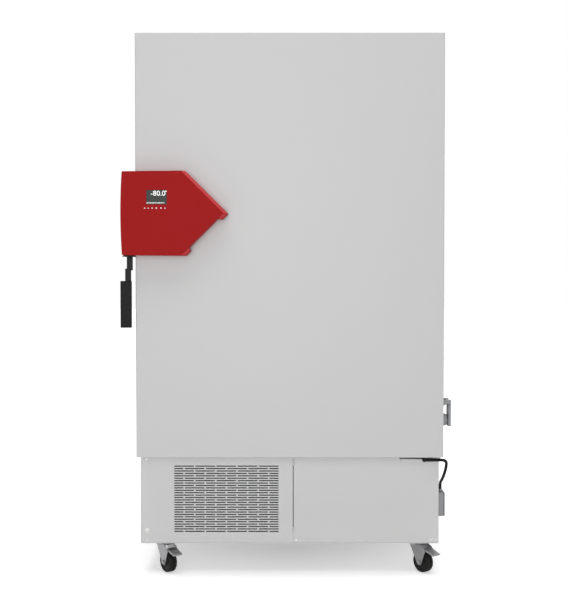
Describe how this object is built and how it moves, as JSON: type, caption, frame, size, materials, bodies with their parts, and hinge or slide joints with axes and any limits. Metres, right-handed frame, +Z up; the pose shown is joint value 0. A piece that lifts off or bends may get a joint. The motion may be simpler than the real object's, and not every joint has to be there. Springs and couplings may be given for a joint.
{
  "type": "ultra low temperature freezer",
  "caption": "Upright laboratory freezer on castors with a hinged outer door, lever latch, red control housing, inner doors and a louvred machinery base.",
  "frame": {"origin": "on the floor under the middle of the freezer, at the centre of its overall width and depth", "axes": "+Z up, +X to the right as seen from the front, the door faces -Y"},
  "size_m": [1.2096, 0.977, 1.968],
  "materials": {
    "cabinet_paint": "smooth light grey powder coat",
    "door_paint": "smooth light grey powder coat",
    "base_paint": "smooth grey powder coat",
    "chamber_steel": "brushed stainless steel",
    "frame_plastic": "matt white moulding",
    "foam": "cream rigid foam",
    "panel_foil": "foil-faced insulation panel",
    "copper": "drawn copper tube",
    "inner_door_plastic": "matt white moulding",
    "gasket_rubber": "soft dark grey seal",
    "red_plastic": "glossy deep red moulding",
    "display_glass": "dark window",
    "black_plastic": "matt black moulding",
    "dark_metal": "satin black coat",
    "bare_steel": "satin steel",
    "hinge_steel": "light grey coat on steel",
    "bush_plastic": "white bearing plastic",
    "port_plastic": "mid grey moulding",
    "plug_rubber": "soft grey plug",
    "cable_rubber": "black sheath",
    "box_plastic": "mid grey moulding",
    "zinc": "zinc plated pressing",
    "aluminium": "mill finish",
    "filter_mesh": "dark open foam mat in a frame",
    "compressor_black": "satin black shell",
    "electronics_grey": "plain sheet cover",
    "wheel_grey": "dark tread"
  },
  "bodies": {
    "cabinet": {"outer_casing": "cabinet_paint", "inner_liner": "chamber_steel", "breaker_frame": "frame_plastic", "evaporator_coil": "copper", "vacuum_panels": "panel_foil", "foam_insulation": "foam", "shelf_tracks": "chamber_steel", "shelves": "chamber_steel", "inner_door_hinges": "chamber_steel", "hinge_brackets": "hinge_steel", "latch_keeper": "bare_steel", "port_tube": "port_plastic", "port_plug": "plug_rubber", "door_cable": "cable_rubber", "cable_elbow": "black_plastic", "cable_box": "box_plastic", "base_floor": "base_paint", "base_posts": "zinc", "base_side_panels": "base_paint", "base_front_panel": "base_paint", "rear_panel": "base_paint", "mains_inlet": "black_plastic", "wall_bumpers": "plug_rubber", "air_filter": "filter_mesh", "condenser": "aluminium", "fan_shroud": "dark_metal", "compressor_stage_1": "compressor_black", "compressor_stage_2": "compressor_black", "cascade_exchanger": "black_plastic", "electronics_box": "electronics_grey", "refrigerant_pipes": "copper", "castor_plates": "zinc"},
    "door": {"door_skin": "door_paint", "door_insulation": "foam", "door_inner_panel": "inner_door_plastic", "hinge_bushes": "bush_plastic", "door_gasket": "gasket_rubber", "instrument_housing": "red_plastic", "display_screen": "display_glass", "handle_collar": "black_plastic"},
    "door_handle": {"handle_lever": "dark_metal", "handle_grip": "black_plastic"},
    "inner_door_1": {"inner_door_1": "inner_door_plastic"},
    "inner_door_2": {"inner_door_2": "inner_door_plastic"},
    "inner_door_3": {"inner_door_3": "inner_door_plastic"},
    "inner_door_4": {"inner_door_4": "inner_door_plastic"},
    "vent_flap": {"vent_flap": "base_paint"},
    "fan_rotor": {"fan_rotor": "black_plastic"},
    "port_flap": {"port_flap": "port_plastic"},
    "rocker_switch": {"rocker_switch": "black_plastic"},
    "castor_fork_fl": {"castor_fork_fl": "zinc"},
    "castor_wheel_fl": {"castor_wheel_fl": "wheel_grey"},
    "castor_fork_fr": {"castor_fork_fr": "zinc"},
    "castor_wheel_fr": {"castor_wheel_fr": "wheel_grey"},
    "castor_fork_rl": {"castor_fork_rl": "zinc"},
    "castor_wheel_rl": {"castor_wheel_rl": "wheel_grey"},
    "castor_fork_rr": {"castor_fork_rr": "zinc"},
    "castor_wheel_rr": {"castor_wheel_rr": "wheel_grey"},
    "brake_pedal_fl": {"brake_pedal_fl": "zinc"},
    "brake_pedal_fr": {"brake_pedal_fr": "zinc"}
  },
  "joints": [
    {"name": "door_swing", "type": "hinge", "parent": "cabinet", "child": "door", "pos_m": [0.535, -0.388, 1.2], "axis": [0, 0, 1], "range_deg": [0, 120]},
    {"name": "handle_lift", "type": "hinge", "parent": "door", "child": "door_handle", "pos_m": [-0.571, -0.405, 1.2], "axis": [-1, 0, 0], "range_deg": [0, 35]},
    {"name": "inner_door_1_swing", "type": "hinge", "parent": "cabinet", "child": "inner_door_1", "pos_m": [0.44, -0.322, 0.6838], "axis": [0, 0, 1], "range_deg": [0, 90]},
    {"name": "inner_door_2_swing", "type": "hinge", "parent": "cabinet", "child": "inner_door_2", "pos_m": [0.44, -0.322, 1.0173], "axis": [0, 0, 1], "range_deg": [0, 90]},
    {"name": "inner_door_3_swing", "type": "hinge", "parent": "cabinet", "child": "inner_door_3", "pos_m": [0.44, -0.322, 1.3508], "axis": [0, 0, 1], "range_deg": [0, 90]},
    {"name": "inner_door_4_swing", "type": "hinge", "parent": "cabinet", "child": "inner_door_4", "pos_m": [0.44, -0.322, 1.6843], "axis": [0, 0, 1], "range_deg": [0, 90]},
    {"name": "vent_flap_swing", "type": "hinge", "parent": "cabinet", "child": "vent_flap", "pos_m": [0.014, -0.3265, 0.29], "axis": [0, 0, 1], "range_deg": [0, 100]},
    {"name": "fan_spin", "type": "hinge", "parent": "cabinet", "child": "fan_rotor", "pos_m": [-0.234, -0.2, 0.283], "axis": [0, 1, 0], "continuous": true},
    {"name": "port_flap_lift", "type": "hinge", "parent": "cabinet", "child": "port_flap", "pos_m": [0.5971, -0.2365, 0.631], "axis": [0, -1, 0], "range_deg": [0, 85]},
    {"name": "switch_rock", "type": "hinge", "parent": "cabinet", "child": "rocker_switch", "pos_m": [0.406, 0.4585, 0.19], "axis": [-1, 0, 0], "range_deg": [0, 14]},
    {"name": "castor_fl_swivel", "type": "hinge", "parent": "cabinet", "child": "castor_fork_fl", "pos_m": [-0.476, -0.264, 0.105], "axis": [0, 0, 1], "continuous": true},
    {"name": "castor_fl_roll", "type": "hinge", "parent": "castor_fork_fl", "child": "castor_wheel_fl", "pos_m": [-0.45313, -0.29435, 0.04], "axis": [0.7986, 0.6018, 0], "continuous": true},
    {"name": "castor_fr_swivel", "type": "hinge", "parent": "cabinet", "child": "castor_fork_fr", "pos_m": [0.476, -0.264, 0.105], "axis": [0, 0, 1], "continuous": true},
    {"name": "castor_fr_roll", "type": "hinge", "parent": "castor_fork_fr", "child": "castor_wheel_fr", "pos_m": [0.49887, -0.29435, 0.04], "axis": [0.7986, 0.6018, 0], "continuous": true},
    {"name": "castor_rl_swivel", "type": "hinge", "parent": "cabinet", "child": "castor_fork_rl", "pos_m": [-0.476, 0.3935, 0.105], "axis": [0, 0, 1], "continuous": true},
    {"name": "castor_rl_roll", "type": "hinge", "parent": "castor_fork_rl", "child": "castor_wheel_rl", "pos_m": [-0.463, 0.42921, 0.04], "axis": [-0.9397, 0.342, 0], "continuous": true},
    {"name": "castor_rr_swivel", "type": "hinge", "parent": "cabinet", "child": "castor_fork_rr", "pos_m": [0.476, 0.3935, 0.105], "axis": [0, 0, 1], "continuous": true},
    {"name": "castor_rr_roll", "type": "hinge", "parent": "castor_fork_rr", "child": "castor_wheel_rr", "pos_m": [0.489, 0.42921, 0.04], "axis": [-0.9397, 0.342, 0], "continuous": true},
    {"name": "brake_fl_lift", "type": "hinge", "parent": "castor_fork_fl", "child": "brake_pedal_fl", "pos_m": [-0.43989, -0.31192, 0.088], "axis": [-0.7986, -0.6018, 0], "range_deg": [0, 18]},
    {"name": "brake_fr_lift", "type": "hinge", "parent": "castor_fork_fr", "child": "brake_pedal_fr", "pos_m": [0.51211, -0.31192, 0.088], "axis": [-0.7986, -0.6018, 0], "range_deg": [0, 18]}
  ],
  "couplings": [
    {"joint": "inner_door_1_swing", "follows": "door_swing", "ratio": 0.75},
    {"joint": "inner_door_2_swing", "follows": "door_swing", "ratio": 0.75},
    {"joint": "inner_door_3_swing", "follows": "door_swing", "ratio": 0.75},
    {"joint": "inner_door_4_swing", "follows": "door_swing", "ratio": 0.75}
  ]
}
